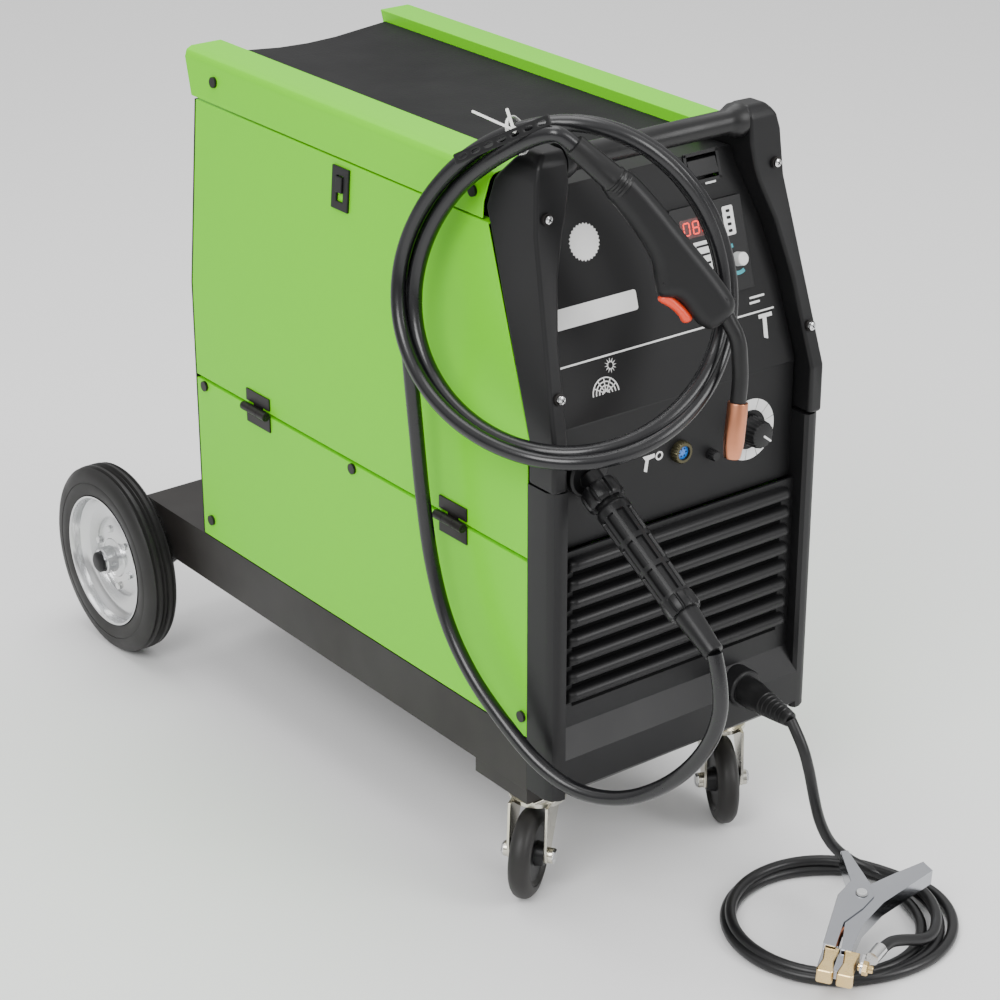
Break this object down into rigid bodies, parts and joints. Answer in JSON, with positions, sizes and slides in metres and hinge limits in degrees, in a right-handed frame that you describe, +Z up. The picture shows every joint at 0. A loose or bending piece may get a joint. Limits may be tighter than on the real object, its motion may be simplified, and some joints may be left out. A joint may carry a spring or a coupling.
{
  "type": "mig welder on cart",
  "caption": "Wheeled cabinet welding machine with a sloping control panel, a drop-down side door, a bottle deck, a hung torch lead and a coiled work cable with a spring clamp.",
  "frame": {"origin": "on the floor, under the middle of the machine's outline seen from above, without its free cords", "axes": "+X to the operator's right, across the machine; +Y from the control panel to the rear wheels; +Z up"},
  "size_m": [0.4768, 1.255, 0.8624],
  "materials": {
    "black_paint": "satin black powder coat",
    "black_plastic": "fine textured black moulding",
    "black_rubber": "matt black rubber",
    "blue_plastic": "blue insert in a dark ring",
    "board": "green circuit board",
    "brass": "machined brass",
    "chrome": "bright plated steel",
    "copper": "drawn copper",
    "green_paint": "satin green powder coat",
    "grey_plastic": "grey moulding",
    "orange_plastic": "orange-red trigger moulding",
    "steel": "bare steel",
    "tyre": "matt black tyre",
    "white_plastic": "white moulding",
    "zinc": "bright zinc plate"
  },
  "bodies": {
    "chassis": {"cart_base": "black_paint", "rear_axle": "zinc", "caster_plates": "zinc", "front_fascia": "black_plastic", "control_panel": "black_plastic", "handle_post_left": "black_plastic", "handle_post_right": "black_plastic", "handle_bar": "black_rubber", "lower_panel_left": "green_paint", "hinge_brackets": "black_paint", "side_panel_right": "green_paint", "top_rails": "green_paint", "top_tray": "black_paint", "rear_panel": "black_paint", "divider_panel": "steel", "spool_spindle": "grey_plastic", "wire_drive": "steel", "transformer": "steel", "control_board": "board", "display_module": "black_plastic", "remote_socket": "blue_plastic", "torch_socket": "black_plastic", "torch_sleeve": "black_plastic", "torch_lead": "black_rubber", "torch_coil": "black_rubber", "gun_body": "black_plastic", "gun_neck": "black_plastic", "gun_nozzle": "copper", "hang_strap": "black_paint", "work_socket": "black_plastic", "work_plug": "black_rubber", "work_cable": "black_rubber", "work_coil": "black_rubber", "clamp_jaw_lower": "chrome", "clamp_fittings": "brass", "panel_screws": "black_paint"},
    "door": {"side_door": "green_paint", "hinge_leaves": "black_paint", "latch_plate": "black_plastic"},
    "latch": {"latch_slider": "black_plastic"},
    "left_rear_wheel": {"rear_tyre_left": "tyre", "rear_rim_left": "zinc"},
    "right_rear_wheel": {"rear_tyre_right": "tyre", "rear_rim_right": "zinc"},
    "left_caster": {"caster_fork_left": "zinc"},
    "right_caster": {"caster_fork_right": "zinc"},
    "left_caster_wheel": {"caster_wheel_left": "tyre"},
    "right_caster_wheel": {"caster_wheel_right": "tyre"},
    "rocker": {"power_rocker": "black_plastic"},
    "voltage_dial": {"voltage_knob": "black_plastic"},
    "trim_dial": {"trim_knob": "black_plastic"},
    "display_dial": {"display_knob": "white_plastic"},
    "torch_nut": {"torch_collar": "black_plastic"},
    "trigger": {"gun_trigger": "orange_plastic"},
    "clamp_upper": {"clamp_jaw_upper": "chrome"},
    "spool": {"wire_spool": "grey_plastic"},
    "feed_roll": {"drive_roll": "steel"},
    "feed_arm": {"pressure_arm": "steel"},
    "feed_knob": {"tension_knob": "grey_plastic"},
    "fan": {"fan_blades": "grey_plastic"}
  },
  "joints": [
    {"name": "door_hinge", "type": "hinge", "parent": "chassis", "child": "door", "pos_m": [-0.184, -0.0889, 0.411], "axis": [0, -1, 0], "range_deg": [0, 165], "deforming": ["torch_lead", "torch_coil", "hang_strap"]},
    {"name": "latch_slide", "type": "slide", "parent": "door", "child": "latch", "axis": [-0.0753, 0, -0.9972], "range_m": [0, 0.008], "stiffness_N_per_m": 150},
    {"name": "left_rear_wheel_spin", "type": "hinge", "parent": "chassis", "child": "left_rear_wheel", "pos_m": [-0.204, 0.4061, 0.119], "axis": [1, 0, 0], "continuous": true},
    {"name": "right_rear_wheel_spin", "type": "hinge", "parent": "chassis", "child": "right_rear_wheel", "pos_m": [0.204, 0.4061, 0.119], "axis": [1, 0, 0], "continuous": true},
    {"name": "left_caster_swivel", "type": "hinge", "parent": "chassis", "child": "left_caster", "pos_m": [-0.127, -0.3429, 0.104], "axis": [0, 0, 1], "continuous": true},
    {"name": "left_caster_spin", "type": "hinge", "parent": "left_caster", "child": "left_caster_wheel", "pos_m": [-0.15157, -0.36011, 0.05], "axis": [0.5736, -0.8192, 0], "continuous": true},
    {"name": "right_caster_swivel", "type": "hinge", "parent": "chassis", "child": "right_caster", "pos_m": [0.127, -0.3429, 0.104], "axis": [0, 0, 1], "continuous": true},
    {"name": "right_caster_spin", "type": "hinge", "parent": "right_caster", "child": "right_caster_wheel", "pos_m": [0.11223, -0.36901, 0.05], "axis": [0.8704, -0.4924, 0], "continuous": true},
    {"name": "power_rocker", "type": "hinge", "parent": "chassis", "child": "rocker", "pos_m": [0.076, -0.34116, 0.75687], "axis": [1, 0, 0], "range_deg": [0, 14]},
    {"name": "voltage_knob", "type": "hinge", "parent": "chassis", "child": "voltage_dial", "pos_m": [0.098, -0.4064, 0.487], "axis": [0, 1, 0], "range_deg": [-255, 15]},
    {"name": "trim_knob", "type": "hinge", "parent": "chassis", "child": "trim_dial", "pos_m": [0.045, -0.4064, 0.474], "axis": [0, 1, 0], "range_deg": [-135, 135]},
    {"name": "display_knob", "type": "hinge", "parent": "chassis", "child": "display_dial", "pos_m": [0.097, -0.37905, 0.66538], "axis": [0, 0.9578, -0.2873], "continuous": true},
    {"name": "torch_nut", "type": "hinge", "parent": "chassis", "child": "torch_nut", "pos_m": [-0.12, -0.4114, 0.497], "axis": [0, -0.8522, -0.5232], "continuous": true},
    {"name": "gun_trigger", "type": "hinge", "parent": "chassis", "child": "trigger", "pos_m": [-0.04482, -0.48656, 0.67158], "axis": [0.477, 0.8721, -0.1089], "range_deg": [0, 8], "stiffness_Nm_per_rad": 1},
    {"name": "clamp_hinge", "type": "hinge", "parent": "chassis", "child": "clamp_upper", "pos_m": [0.061, -0.6419, 0.049], "axis": [-0.06, -0.11, 0.9921], "range_deg": [0, 25], "stiffness_Nm_per_rad": 4, "springref_deg": -22.92},
    {"name": "spool_spin", "type": "hinge", "parent": "chassis", "child": "spool", "pos_m": [-0.068, 0.0411, 0.575], "axis": [1, 0, 0], "continuous": true},
    {"name": "feed_roll_spin", "type": "hinge", "parent": "chassis", "child": "feed_roll", "pos_m": [-0.058, -0.2389, 0.558], "axis": [1, 0, 0], "continuous": true},
    {"name": "pressure_arm_lift", "type": "hinge", "parent": "chassis", "child": "feed_arm", "pos_m": [-0.058, -0.2769, 0.6], "axis": [1, 0, 0], "range_deg": [0, 70]},
    {"name": "tension_screw", "type": "hinge", "parent": "chassis", "child": "feed_knob", "pos_m": [-0.036, -0.1989, 0.578], "axis": [0, 0, 1], "continuous": true},
    {"name": "fan_spin", "type": "hinge", "parent": "chassis", "child": "fan", "pos_m": [0.06, 0.2111, 0.33], "axis": [0, 1, 0], "continuous": true}
  ]
}
